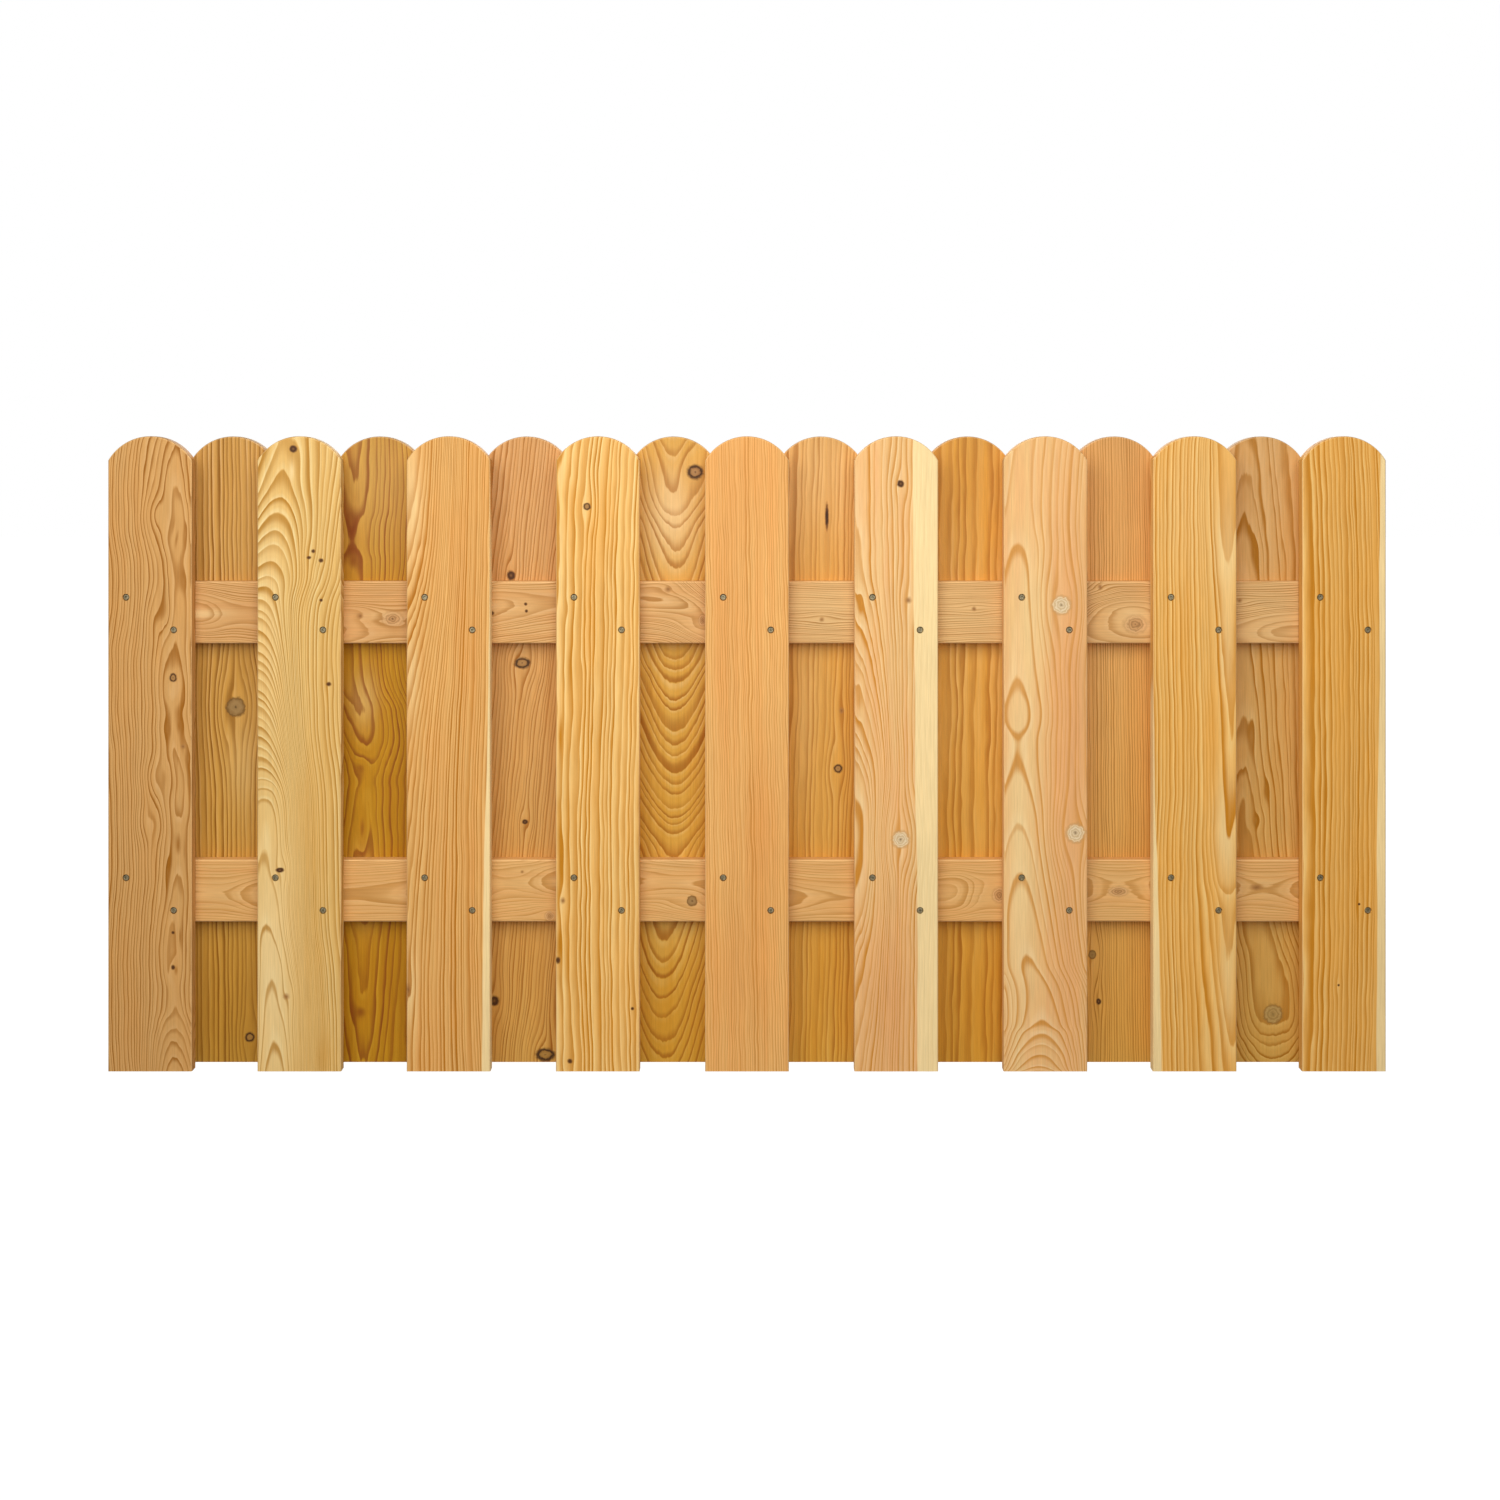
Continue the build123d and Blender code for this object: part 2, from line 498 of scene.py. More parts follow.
BACK_FIGURES = (
    Figure(
        tone="moss", ring=6.6, depth=30, early=0.35, contrast=1.0,
        heart=((0, -95), (895, -105)),
        knots=((5, 508, 13, 13, "dull"), (25, 36, 6, 6, "eye")),
        glows=((14, 420, 26, 60, 0.25), (10, 580, 30, 40, -0.4), (0, 50, 80, 150, -0.8)),
    ),
    Figure(
        tone="olive", ring=7.0, depth=26, base=2.5, reach=60, early=0.5, contrast=0.75, wave=4,
        heart=((0, -24), (330, -22), (420, -18), (500, -28), (600, -52), (700, -42), (793, -36),
               (895, -38)),
        climb=((0, 5.5), (61, 4.9), (120, 4.4), (187, 3.9), (250, 3.1), (310, 3.4), (350, 3.7),
               (391, 3.95), (402, 4.1), (415, 3.9), (443, 2.9), (475, 1.9), (530, 1.2), (600, 0.9),
               (690, 1.5), (717, 1.9), (750, 2.6), (791, 1.95), (850, 1.3), (895, 1.0)),
        flames=((-27, 420, 12, 16), (-24, 335, 8, 34), (-40, 776, 9, 26), (-36, 718, 12, 18),
                (-28, 72, 14, 14)),
        glows=((-22, 520, 20, 40, 0.25), (-22, 250, 20, 50, 0.2), (0, 830, 80, 120, 0.15)),
    ),
    Figure(
        tone="russet", ring=4.8, depth=35, early=0.4,
        heart=((0, -150), (300, -125), (895, -60)),
        knots=((-22, 696, 5, 6, "dark"), (-6, 571, 10, 7, "eye"), (-2, 344, 3.5, 3, "dark"),
               (27, 11, 12, 8, "eye"), (-46, 88, 6, 6, "dark")),
    ),
    Figure(
        tone="gold", ring=6.5, depth=42, early=0.45, contrast=0.8, rough=0.7,
        heart=((0, -14), (160, -14), (300, 0), (560, 3), (895, 2)),
        climb=((0, 33), (60, 31), (105, 29.5), (159, 27.5), (220, 26), (301, 24), (343, 21.5),
               (391, 18.5), (443, 15.5), (508, 12.5), (551, 10.5), (578, 9), (696, 5), (763, 3), (810, 1),
               (862, 0), (895, -1)),
        thin=((0, 0.15), (230, 0.15), (300, 0), (895, 0)),
        knots=((31, 844, 10, 9, "eye"),),
        glows=((-5, 780, 40, 70, 0.5), (0, 220, 40, 60, 0.25), (0, 50, 80, 120, -0.6)),
    ),
    Figure(
        tone="copper", ring=7.0, depth=40, early=0.35, contrast=0.65, wave=4,
        heart=((0, -100), (895, -80)),
        knots=((9, 780, 2.2, 16, "slit"), (25, 420, 5.5, 5.5, "eye"), (30, 503, 3, 4, "faint")),
        glows=((-20, 500, 18, 120, 0.2), (20, 150, 20, 100, -0.5), (0, 830, 80, 120, 0.2)),
    ),
    Figure(
        tone="copper", ring=13.5, depth=40, early=0.25, contrast=0.8, wave=4,
        heart=((0, -120), (895, -110)),
        glows=((0, 60, 80, 170, -0.7), (0, 850, 80, 130, -0.7)),
    ),
    Figure(
        tone="fawn", ring=3.6, depth=30, early=0.4, contrast=0.9, wave=3,
        heart=((0, -100), (895, -110)),
        knots=((-23, 87, 3, 4, "dark"), (-32, 154, 5, 6, "dull")),
        glows=((34, 450, 28, 700, -0.7), (0, 60, 80, 170, -0.6), (0, 850, 80, 130, -0.8)),
    ),
    Figure(
        tone="clay", ring=7.0, depth=30, base=4.5, reach=70, early=0.5, contrast=0.9, wave=4,
        heart=((0, 16), (100, 12), (200, -10), (300, -25), (895, -22)),
        climb=((0, 6.9), (12, 6), (30, 5), (45, 4), (80, 3.2), (150, 2.8), (300, 3.3), (385, 3.9),
               (455, 4.9), (578, 5.9), (700, 6.6), (800, 7.9), (895, 8.9)),
        knots=((16, 69, 13, 13, "ashen"),),
        flames=((-14, 465, 6, 30), (6, 388, 6, 18), (-8, 346, 9, 13), (-10, 730, 8, 26)),
    ),
)

RAIL_FIGURES = {
    "upper_rail": Figure(
        tone="rail", ring=2.8, depth=46, base=6, reach=40, early=0.4, contrast=0.85, wave=3,
        heart=((0, 10), (160, -2), (400, -20), (560, 10), (760, 20), (930, -70), (1290, -70), (1440, -14),
               (1560, -30), (1800, 15)),
        climb=((0, 2), (110, 1), (190, 3.5), (300, 2), (400, 5), (520, 2), (640, 4), (760, 1), (880, 3),
               (1010, 1), (1120, 4), (1230, 2), (1340, 5), (1450, 2), (1560, 4), (1680, 1.5), (1800, 3)),
        knots=((-5, 351, 3.5, 4, "faint"), (-9, 397, 9, 13, "burl"), (12, 586, 2, 2, "pin"),
               (2, 587, 2, 2, "pin"), (-1, 538, 2.5, 3, "pin"), (33, 788, 4, 4, "faint"),
               (-11, 837, 7, 5, "burl"), (-10, 1006, 3, 3, "faint"), (5, 1222, 3, 3, "faint"),
               (36, 1401, 4, 3, "faint"), (-17, 1451, 11, 14, "burl"), (17, 1599, 3, 3, "faint")),
        glows=((-2, 125, 6, 40, 0.8), (-4, 385, 8, 22, 0.4), (-8, 1451, 20, 34, 0.3),
               (0, 1110, 60, 190, 0.4), (0, 260, 60, 190, -0.5), (0, 1650, 60, 120, 0.25)),
    ),
    "lower_rail": Figure(
        tone="sand", ring=3.2, depth=46, base=6, reach=40, early=0.5, contrast=0.6, wave=3,
        heart=((0, 10), (300, -5), (700, 15), (1000, -10), (1400, 5), (1800, -10)),
        climb=((0, 1), (140, 4), (240, 1.5), (330, 3), (480, 1.5), (560, 4.5), (660, 2), (800, 3.5),
               (900, 2), (1050, 4), (1180, 1.5), (1250, 5), (1350, 2), (1430, 4), (1540, 1), (1630, 4),
               (1720, 2), (1800, 3)),
        knots=((27, 581, 2, 2, "faint"), (-36, 620, 6, 6, "burl"), (-14, 822, 7, 7, "dull"),
               (-6, 1258, 9, 9, "burl"), (-1, 1427, 6, 12, "burl"), (5, 1623, 4, 8, "faint")),
    ),
}


# Ripples that bend the grain, the rings and the outlines of knots
GRAIN_DRIFT = Ripple(60, 210, 60, swing=5)
GRAIN_WAVE = Ripple(34, 62, 34, detail=1.0, shifted=ALONG)
RING_STRAY = Ripple(26, 110, 26, swing=0.8)
RING_TREMOR = Ripple(5, 75, 5, swing=0.25, detail=1.0, shifted=ALONG)
KNOT_RAGGED = Ripple(5, 5, 40, swing=0.3, detail=1.0)
# Ripples that make the wood lighter and darker
PATCH = Ripple(22, 130, 22, shifted=DEEP)
CLOUD = Ripple(34, 210, 40, shifted=DEEP)
STREAK = Ripple(7, 420, 7)
FIBRE = Ripple(1.6, 46, 1.6, detail=3.0)

# How far round a knot the grain is pushed aside: times its half sizes, and mm more
PUSH_TIMES_WIDTH, PUSH_BESIDE = 2.2, 3
PUSH_TIMES_HEIGHT, PUSH_ABOVE = 4, 12
# Some years' rings are wide and some narrow: how fast that changes, and by how many rings
UNEVEN_RATE = 0.45
UNEVEN_RINGS = 1.3

# Shares of a ring: the most before its late wood, where that is full, where it ends, and its pale start
MOST_EARLY = 0.82
LATE_FULL = 0.9
LATE_END = (0.94, 1.0)
SPRING_END = (0.02, 0.34)
# How dark a ring is drawn: the least, by its own chance, by the patch it crosses, and more in a flame
LEAST_STRENGTH = 0.5
CHANCE_STRENGTH = 0.6
PATCH_STRENGTH = 0.7
FLAME_STRENGTH = 0.4
# How much the colours cover of what lies below them
SPRING_COVER = 0.8
FLUSH_COVER = 0.7
SAP_COVER = 0.85
# The painted edge highlight's cover
EDGE_HIGHLIGHT_COVER = 0.5
# Where clouds and streaks turn into flush
FLUSH_RANGE = (-0.25, 0.4)
# How far the outlines of glows and sapwood wander, and how soft the sapwood's is, in mm
GLOW_WANDER = 14
SAP_WANDER = 7
SAP_SOFT = 0.8

# Lightness by fibre and cloud, and how much darker end grain is
FIBRE_SHADE = 0.36
CLOUD_SHADE = 0.22
END_DARKER = 0.35
# How far a face looks out of the panel where the painted highlight of an eased edge begins and ends, and
# along the grain at its end
EDGE_BEGINS = (0.1, 0.5)
EDGE_ENDS = (0.8, 0.98)
END_GRAIN = (0.45, 0.95)
# Depths behind a back board's front, in mm, between which the painted shade gives way to the unshaded rear
# face
UNSHADED_DEPTH = (4, 16)

FIBRE_BUMP = 0.3
FIBRE_HEIGHT = 0.0004
WOOD_ROUGHNESS = 0.62
LATE_ROUGHNESS = -0.08
WOOD_SPECULAR = 0.25


class Larch(Surface):
    """Planed larch: growth rings round the tree's heart, cut by the faces of one board."""

    def __init__(self, name, figure, origin, length, lying, seed):
        super().__init__(name)
        self.figure = figure
        self.board_length = length * MM
        self.lying = lying
        self.seed = seed
        x, y, z = [(part - start) * MM for part, start in zip(self.parts(self.position()), origin)]
        self.across, self.along, self.deep = (z, x, y) if lying else (x, z, y)
        self.share_along = self.along / self.board_length
        self.patch = self.stir(PATCH)
        self.cloud = self.stir(CLOUD)
        self.fibre = self.stir(FIBRE)

    def stir(self, kind):
        """One kind of ripple in this board."""
        return self.ripple(kind, (self.across, self.along, self.deep), self.seed)

    def read(self, points):
        """A smooth line through (distance along the board, value) points."""
        return self.curve(self.share_along, points, self.board_length)

    def bend_grain(self):
        """Which grain runs where, and how far out of each knot a point lies, with that knot's colours."""
        ragged = self.stir(KNOT_RAGGED)
        spot = self.vector(self.across, self.along, 0.0)
        grain = self.across
        knots = []
        for side, height, half_width, half_height, kind in self.figure.knots:
            push, stops = KNOTS[kind]
            offset = self.combine("SUBTRACT", spot, (side, height, 0))
            push_width = PUSH_TIMES_WIDTH * half_width + PUSH_BESIDE
            push_height = PUSH_TIMES_HEIGHT * half_height + PUSH_ABOVE
            spread = self.combine("MULTIPLY", offset, (1 / push_width, 1 / push_height, 0))
            near = self.fade(self.combine("DOT_PRODUCT", spread, spread, output="Value"))
            grain = grain - (self.across - side) * near * push
            if stops:
                span = (1 / (half_width * KNOT_SPAN), 1 / (half_height * KNOT_SPAN), 0)
                radii = self.combine("MULTIPLY", offset, span)
                knots.append((self.combine("LENGTH", radii, output="Value") + ragged, stops))
        grain = grain + self.stir(GRAIN_DRIFT)
        grain = grain + self.stir(GRAIN_WAVE) * self.figure.wave
        return grain, knots

    def count_rings(self, grain):
        """Rings counted from the heart, the share of each before its late wood, and where flames lie."""
        figure = self.figure
        from_heart = grain - self.read(figure.heart)
        rings = (self.hypotenuse(from_heart, figure.depth - self.deep) - figure.depth) / figure.ring
        away = from_heart / figure.reach
        rings = rings + (self.read(figure.climb) - figure.base) * self.bell(away * away)
        rings = rings + self.stir(RING_STRAY) * figure.rough
        rings = rings + self.stir(RING_TREMOR) * figure.rough
        rings = rings + self.line_noise(rings * UNEVEN_RATE + self.seed) * UNEVEN_RINGS
        flame = 0.0
        for side, height, half_width, half_height in figure.flames:
            near = self.bell((grain - side) / half_width, (self.along - height) / half_height)
            laid_open = math.floor(figure.rings_at(side, height)) + FLAME_AGE
            rings = rings + (laid_open - rings) * near
            flame = near + flame
        early_share = figure.early
        if figure.thin:
            thinner = self.read(figure.thin) * self.bell(from_heart / THIN_REACH)
            early_share = self.math("MINIMUM", thinner + early_share, MOST_EARLY)
        return rings, early_share, flame

    def colour_rings(self, rings, early_share, flame):
        """The colour of the clear wood, and how much of it is late wood."""
        early_colour, late_colour, flush, spring_colour = TONES[self.figure.tone]
        age = self.math("FRACT", rings)
        late = self.smooth(age, early_share, LATE_FULL) * (1 - self.smooth(age, *LATE_END))
        spring = 1 - self.smooth(age, *SPRING_END)
        chance = self.dice(self.math("FLOOR", rings) + self.seed)
        strength = chance * CHANCE_STRENGTH + LEAST_STRENGTH + self.patch * PATCH_STRENGTH
        strength = strength * self.figure.contrast + flame * FLAME_STRENGTH
        colour = self.mix(spring * strength * SPRING_COVER, early_colour, spring_colour)
        flushed = self.smooth(self.cloud + self.stir(STREAK), *FLUSH_RANGE)
        colour = self.mix(flushed * FLUSH_COVER, colour, flush)
        for side, height, half_width, half_height, amount in self.figure.glows:
            aside = self.across - side + self.patch * GLOW_WANDER
            near = self.bell(aside / half_width, (self.along - height) / half_height)
            colour = self.mix(near * abs(amount), colour, PALE_WOOD if amount > 0 else flush)
        return self.mix(late * strength, colour, late_colour), late

    def add_sapwood(self, colour):
        """Pale sapwood along one side of the board."""
        hand, at_foot, at_head = self.figure.sap
        edge = self.share_along * (at_head - at_foot) + at_foot
        pale = self.smooth(self.across * hand - edge + self.cloud * SAP_WANDER, -SAP_SOFT, SAP_SOFT)
        return self.mix(pale * SAP_COVER, colour, SAPWOOD)

    def paint_edges_and_grain(self, colour):
        """Painted highlight on the eased edges, dark end grain, and the lighter and darker fibres."""
        normal = self.node("ShaderNodeNewGeometry", {}, output="Normal")
        sideways, forwards, upwards = [self.math("ABSOLUTE", part) for part in self.parts(normal)]
        edge_highlight = self.smooth(forwards, *EDGE_BEGINS) * (1 - self.smooth(forwards, *EDGE_ENDS))
        end = self.smooth(sideways if self.lying else upwards, *END_GRAIN)
        colour = self.mix(edge_highlight * (1 - end) * EDGE_HIGHLIGHT_COVER, colour, EDGE_HIGHLIGHT)
        shade = self.fibre * FIBRE_SHADE + self.cloud * CLOUD_SHADE + 1
        return self.scale(colour, shade * (1 - end * END_DARKER))

    def paint_niche_shade(self, colour):
        """Painted shade on a back board's front face, warmer towards the foot, and its paler, unshaded
        rear face.
        """
        tint = self.mix(self.share_along, NICHE_SHADE_TINT_FOOT, NICHE_SHADE_TINT_HEAD)
        colour = self.combine("MULTIPLY", colour, tint)
        unshaded = self.combine("MULTIPLY", colour, UNSHADED_REAR_FACE)
        return self.mix(self.smooth(self.deep, *UNSHADED_DEPTH), colour, unshaded)

    def complete(self, niche_shaded=False):
        """The finished material."""
        grain, knots = self.bend_grain()
        colour, late = self.colour_rings(*self.count_rings(grain))
        if self.figure.sap:
            colour = self.add_sapwood(colour)
        colour = self.paint_edges_and_grain(colour)
        for share, stops in knots:
            shares = [(radii / KNOT_SPAN, tint, cover) for radii, tint, cover in stops]
            body, cover = self.ramp(share, shares)
            colour = self.mix(cover, colour, body)
        # Back boards only: painted shade of the niches between the front boards
        if niche_shaded:
            colour = self.paint_niche_shade(colour)
        relief = {"Height": self.fibre, "Strength": FIBRE_BUMP, "Distance": FIBRE_HEIGHT}
        self.feed(self.shader.inputs["Base Color"], colour)
        self.feed(self.shader.inputs["Roughness"], late * LATE_ROUGHNESS + WOOD_ROUGHNESS)
        self.feed(self.shader.inputs["Normal"], self.node("ShaderNodeBump", relief))
        self.shader.inputs["Specular IOR Level"].default_value = WOOD_SPECULAR
        return self.material


STEEL_STAINED = paint(132, 121, 92)
STEEL_BRIGHT = paint(188, 175, 140)
STEEL_STAIN = Ripple(2.5, 2.5, 2.5)
STAIN_RANGE = (-0.2, 0.25)
STEEL_ROUGHNESS = 0.42
STAIN_ROUGHNESS = 0.2
STEEL_METALLIC = 0.6


def steel():
    """Dull stainless steel with a little tarnish."""
    s = Surface("screw_steel")
    stain = s.ripple(STEEL_STAIN, [part * MM for part in s.parts(s.position())])
    colour = s.mix(s.smooth(stain, *STAIN_RANGE), STEEL_STAINED, STEEL_BRIGHT)
    s.feed(s.shader.inputs["Base Color"], colour)
    s.feed(s.shader.inputs["Roughness"], stain * STAIN_ROUGHNESS + STEEL_ROUGHNESS)
    s.shader.inputs["Metallic"].default_value = STEEL_METALLIC
    return s.material


def link(name, bm, material):
    """A finished bmesh as an object of the scene."""
    mesh = bpy.data.meshes.new(name)
    bmesh.ops.recalc_face_normals(bm, faces=bm.faces)
    bm.to_mesh(mesh)
    bm.free()
    mesh.materials.append(material)
    made = bpy.data.objects.new(name, mesh)
    bpy.context.scene.collection.objects.link(made)
    return made


def skin(bm, loops):
    """Closed skin through loops with the same number of points, capped at both ends."""
    rows = [[bm.verts.new(point) for point in loop] for loop in loops]
    for row, following in zip(rows, rows[1:]):
        for index, vert in enumerate(row):
            after = (index + 1) % len(row)
            bm.faces.new((vert, row[after], following[after], following[index]))
    bm.faces.new(rows[0])
    bm.faces.new(rows[-1])


def rounded_steps(thickness):
    """(inset, depth) pairs across a board's edge: round, flat, round."""
    turns = [math.pi / 2 * step / EDGE_SEGMENTS for step in range(EDGE_SEGMENTS + 1)]
    front = [(EDGE_RADIUS * (1 - math.sin(turn)), EDGE_RADIUS * (1 - math.cos(turn))) for turn in turns]
    back = [(inset, thickness - depth) for inset, depth in reversed(front)]
    return front + back


def board_loop(low, high, inset, depth):
    """The board's outline at one depth: square foot, arched head."""
    half = (high.x - low.x) / 2
    radius = (half * half + HEAD_RISE * HEAD_RISE) / (2 * HEAD_RISE)
    middle = (low.x + high.x) / 2
    centre_z = high.z - radius
    reach = radius - inset
    spread = math.asin((half - inset) / reach)
    foot_z = low.z + inset * FOOT_EASE / EDGE_RADIUS
    points = [(middle - half + inset, foot_z), (middle + half - inset, foot_z)]
    for step in range(HEAD_SEGMENTS + 1):
        angle = spread * (1 - 2 * step / HEAD_SEGMENTS)
        points.append((middle + reach * math.sin(angle), centre_z + reach * math.cos(angle)))
    return [(x, low.y + depth, z) for x, z in points]


def rail_loop(low, high, inset, depth):
    """The rail's outline at one depth: long edges eased, ends square."""
    ease = inset * FOOT_EASE / EDGE_RADIUS
    left, right = low.x + ease, high.x - ease
    bottom, top = low.z + inset, high.z - inset
    corners = ((left, bottom), (right, bottom), (right, top), (left, top))
    return [(x, low.y + depth, z) for x, z in corners]


def screw_places(low, high, facing):
    """Where the screws of a board go through its face into the rails."""
    face_y = low.y if facing == FRONT else high.y
    places = []
    for rail in sorted(RAIL_FIGURES):
        rail_low, rail_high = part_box(rail)
        middle = Vector(((low.x + high.x) / 2, face_y, (rail_low.z + rail_high.z) / 2))
        places.append(middle + Vector((facing * SCREW_SIDE, 0, SCREW_LIFT)))
        places.append(middle + Vector((-facing * SCREW_SIDE, 0, -SCREW_LIFT)))
    return places


def ring_points(place, facing, radius, sink, segments, lobe_swing=0.0, turn=0.0):
    """A circle on a face, sunk below it, with lobes if they swing."""
    points = []
    for step in range(segments):
        angle = 2 * math.pi * step / segments
        reach = radius * (1 + lobe_swing * math.cos(RECESS_LOBES * angle))
        offset = (reach * math.cos(angle + turn), -facing * sink, reach * math.sin(angle + turn))
        points.append(place + Vector(offset))
    return points


def cut_pockets(board, places, facing):
    """Cut the pocket that each screw head has pressed into the wood."""
    steps = (
        (POCKET_RADIUS + POCKET_LIP, -CUTTER_REACH),
        (POCKET_RADIUS, POCKET_LIP),
        (POCKET_RADIUS * POCKET_TAPER, POCKET_DEPTH),
    )
    bm = bmesh.new()
    for place in places:
        skin(bm, [ring_points(place, facing, radius, sink, POCKET_SEGMENTS) for radius, sink in steps])
    cutter = link("pocket_cutter", bm, board.data.materials[0])
    cut = board.modifiers.new("pockets", "BOOLEAN")
    cut.object = cutter
    cut.operation = "DIFFERENCE"
    cut.solver = "EXACT"
    evaluated = board.evaluated_get(bpy.context.evaluated_depsgraph_get())
    shape = bpy.data.meshes.new_from_object(evaluated)
    board.modifiers.clear()
    board.data = shape
    bpy.data.objects.remove(cutter)


def shade_smooth(piece, sharp_angle):
    """Smooth shading, broken at edges sharper than an angle."""
    for face in piece.data.polygons:
        face.use_smooth = True
    piece.data.set_sharp_from_angle(angle=sharp_angle)


def soften(piece):
    """Smooth shading over the eased edges, flat on the broad faces."""
    shade_smooth(piece, WOOD_SHARP_ANGLE)
    evened = piece.modifiers.new("even_normals", "WEIGHTED_NORMAL")
    evened.keep_sharp = True
    evened.weight = LARGE_FACE_WEIGHT


def settle(piece, node=None):
    """Hand a piece to the frame."""
    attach(piece, "root")
    if node:
        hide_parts(node)


def make_board(node, figure, facing, seed):
    """An upright board with the pockets of its screws."""
    low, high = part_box(node)
    origin = ((low.x + high.x) / 2, low.y, low.z)
    wood = Larch(node + "_larch", figure, origin, high.z - low.z, False, seed)
    bm = bmesh.new()
    skin(bm, [board_loop(low, high, inset, depth) for inset, depth in rounded_steps(high.y - low.y)])
    # Back boards carry painted niche shade on their front faces
    board = link(node + "_planed", bm, wood.complete(niche_shaded=facing == BACK))
    cut_pockets(board, screw_places(low, high, facing), facing)
    soften(board)
    settle(board, node)


def make_rail(node, figure, seed):
    """A rail, lying along the panel."""
    low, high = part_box(node)
    origin = (low.x, low.y, (low.z + high.z) / 2)
    wood = Larch(node + "_larch", figure, origin, high.x - low.x, True, seed)
    bm = bmesh.new()
    skin(bm, [rail_loop(low, high, inset, depth) for inset, depth in rounded_steps(high.y - low.y)])
    rail = link(node + "_planed", bm, wood.complete())
    soften(rail)
    settle(rail, node)


def make_screws(name, nodes, facing, metal, throw):
    """Countersunk screw heads with a six-lobe recess, one mesh for a whole side."""
    bm = bmesh.new()
    for node in nodes:
        for place in screw_places(*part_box(node), facing):
            turn = throw.uniform(0, math.pi)
            loops = []
            for share, below, lobe_swing in SCREW_PROFILE:
                radius = SCREW_HEAD_RADIUS * share
                sink = SCREW_DEPTH + below
                loops.append(ring_points(place, facing, radius, sink, SCREW_SEGMENTS, lobe_swing, turn))
            skin(bm, loops)
    screws = link(name, bm, metal)
    shade_smooth(screws, SCREW_SHARP_ANGLE)
    settle(screws)


# Seeds keep the pieces' ripples and the screws' turns apart from each other
SEED_STEP = 3.7
BACK_SEED = 51.3
RAIL_SEED = 91.1
SCREW_SEED = 7

front_nodes = sorted(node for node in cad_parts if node.startswith("front_board"))
back_nodes = sorted(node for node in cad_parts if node.startswith("back_board"))
for number, (node, figure) in enumerate(zip(front_nodes, FRONT_FIGURES)):
    make_board(node, figure, FRONT, SEED_STEP * number)
for number, (node, figure) in enumerate(zip(back_nodes, BACK_FIGURES)):
    make_board(node, figure, BACK, BACK_SEED + SEED_STEP * number)
for number, (node, figure) in enumerate(RAIL_FIGURES.items()):
    make_rail(node, figure, RAIL_SEED + SEED_STEP * number)

throw = random.Random(SCREW_SEED)
metal = steel()
make_screws("front_screws", front_nodes, FRONT, metal, throw)
make_screws("back_screws", back_nodes, BACK, metal, throw)

# Studio, in metres and watts
WHITE = (1, 1, 1, 1)
WORLD_LIGHT = 0.32
FLOOR_DROP = 0.2
FLOOR_SIZE = 20
FLOOR_GREY = (0.3, 0.3, 0.3, 1)
FLOOR_ROUGHNESS = 0.9
FLOOR_SPECULAR = 0.1
# How bright the floor looks to the camera near the panel and far off, and the distances between
FLOOR_NEAR, FLOOR_FAR = 0.75, 0.95
FLOOR_FADE = (0.6, 3.0)
SOFTBOX_WIDTH = 2.6
SOFTBOX_HEIGHT = 2.0
SOFTBOX_POWER = 50
FRONT_LIGHT_OFFSET = Vector((-0.2, -1.7, 1.1))
BACK_LIGHT_OFFSET = Vector((0.2, 1.7, 1.1))

panel_middle = (cad_low + cad_high) / 2


def make_floor():
    """A pale floor that fades into the white behind it, bright to look at and giving no light."""
    s = Surface("studio_floor")
    offset = s.combine("SUBTRACT", s.position(), tuple(panel_middle))
    away = s.combine("LENGTH", offset, output="Value")
    glow = s.smooth(away, *FLOOR_FADE) * (FLOOR_FAR - FLOOR_NEAR) + FLOOR_NEAR
    looked_at = s.node("ShaderNodeLightPath", {}, output="Is Camera Ray")
    s.shader.inputs["Base Color"].default_value = FLOOR_GREY
    s.shader.inputs["Roughness"].default_value = FLOOR_ROUGHNESS
    s.shader.inputs["Specular IOR Level"].default_value = FLOOR_SPECULAR
    s.shader.inputs["Emission Color"].default_value = WHITE
    s.feed(s.shader.inputs["Emission Strength"], looked_at * glow)
    s.material.cycles.emission_sampling = "NONE"
    left, right = panel_middle.x - FLOOR_SIZE, panel_middle.x + FLOOR_SIZE
    near, far = panel_middle.y - FLOOR_SIZE, panel_middle.y + FLOOR_SIZE
    floor_z = cad_low.z - FLOOR_DROP
    bm = bmesh.new()
    corners = ((left, near), (right, near), (right, far), (left, far))
    bm.faces.new([bm.verts.new((x, y, floor_z)) for x, y in corners])
    link("floor", bm, s.material)


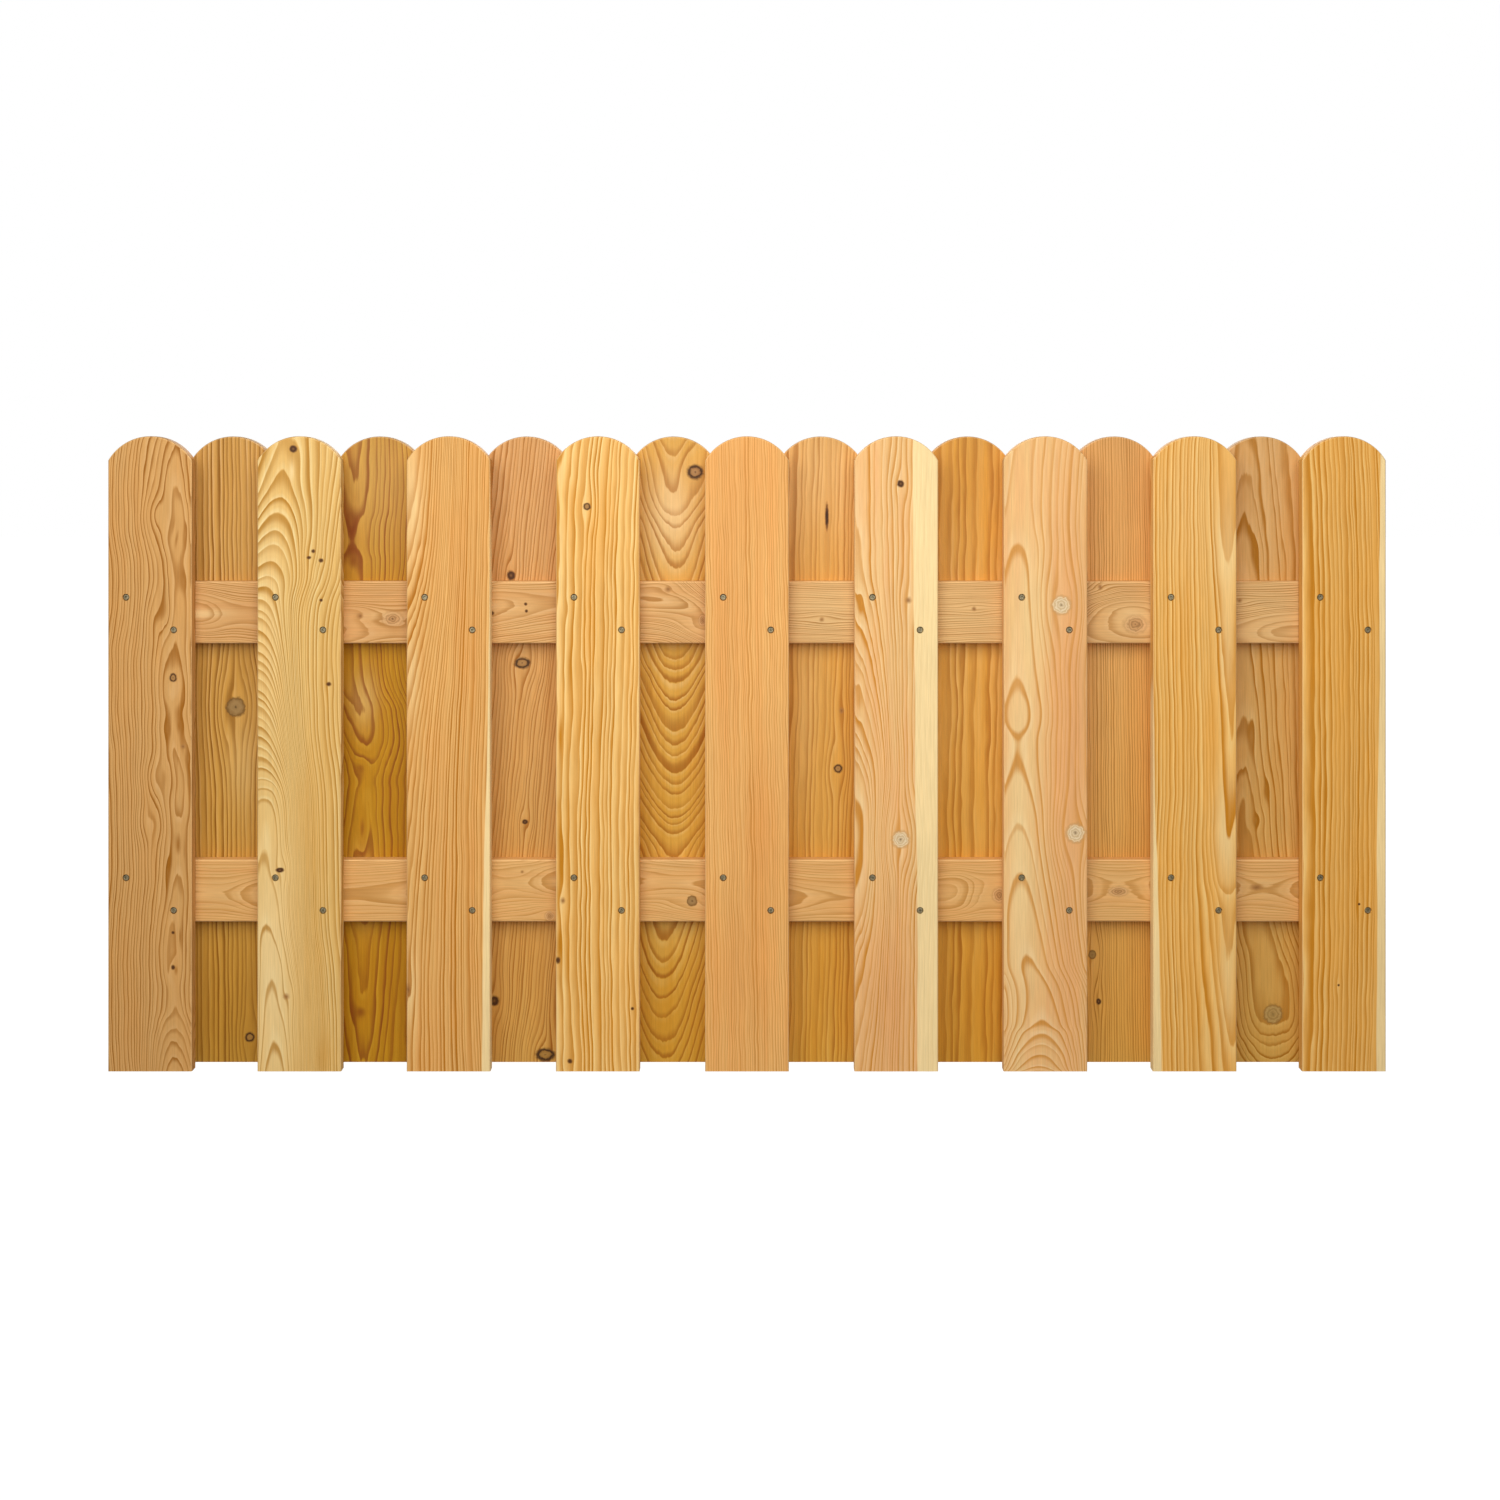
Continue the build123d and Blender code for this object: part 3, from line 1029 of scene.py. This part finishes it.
def make_softbox(name, offset):
    """A large soft light that faces the middle of the panel."""
    data = bpy.data.lights.new(name, "AREA")
    data.shape = "RECTANGLE"
    data.size = SOFTBOX_WIDTH
    data.size_y = SOFTBOX_HEIGHT
    data.energy = SOFTBOX_POWER
    lamp = bpy.data.objects.new(name, data)
    lamp.location = panel_middle + offset
    lamp.rotation_euler = (-offset).to_track_quat("-Z", "Y").to_euler()
    bpy.context.scene.collection.objects.link(lamp)


def make_world():
    """White to look at, and a dimmer white as light."""
    world = bpy.data.worlds.new("studio")
    world.use_nodes = True
    tree = world.node_tree
    background = tree.nodes["Background"]
    background.inputs["Color"].default_value = WHITE
    rays = tree.nodes.new("ShaderNodeLightPath")
    strength = tree.nodes.new("ShaderNodeMapRange")
    strength.inputs["To Min"].default_value = WORLD_LIGHT
    strength.inputs["To Max"].default_value = 1.0
    tree.links.new(rays.outputs["Is Camera Ray"], strength.inputs["Value"])
    tree.links.new(strength.outputs[0], background.inputs["Strength"])
    bpy.context.scene.world = world


make_floor()
make_world()
make_softbox("front_light", FRONT_LIGHT_OFFSET)
make_softbox("back_light", BACK_LIGHT_OFFSET)

# Camera: level, square to the panel, with the photograph's framing
PHOTO_PIXELS = 1500
MM_PER_PIXEL = 1.408
PANEL_CENTRE_PIXEL = (747, 754)
HORIZON_PIXEL = 450
CAMERA_DISTANCE = 2.6
SENSOR = 36
LEVEL = math.radians(90)

frame_width = PHOTO_PIXELS * MM_PER_PIXEL / MM
camera_data = bpy.data.cameras.new("camera")
camera_data.sensor_width = SENSOR
camera_data.lens = SENSOR * CAMERA_DISTANCE / frame_width
camera_data.shift_y = (HORIZON_PIXEL - PHOTO_PIXELS / 2) / PHOTO_PIXELS
camera = bpy.data.objects.new("camera", camera_data)
camera.location = (
    panel_middle.x + (PHOTO_PIXELS / 2 - PANEL_CENTRE_PIXEL[0]) * MM_PER_PIXEL / MM,
    cad_low.y - CAMERA_DISTANCE,
    panel_middle.z + (PANEL_CENTRE_PIXEL[1] - HORIZON_PIXEL) * MM_PER_PIXEL / MM,
)
camera.rotation_euler = (LEVEL, 0, 0)
bpy.context.scene.collection.objects.link(camera)
bpy.context.scene.camera = camera
bpy.context.scene.view_settings.view_transform = "Standard"
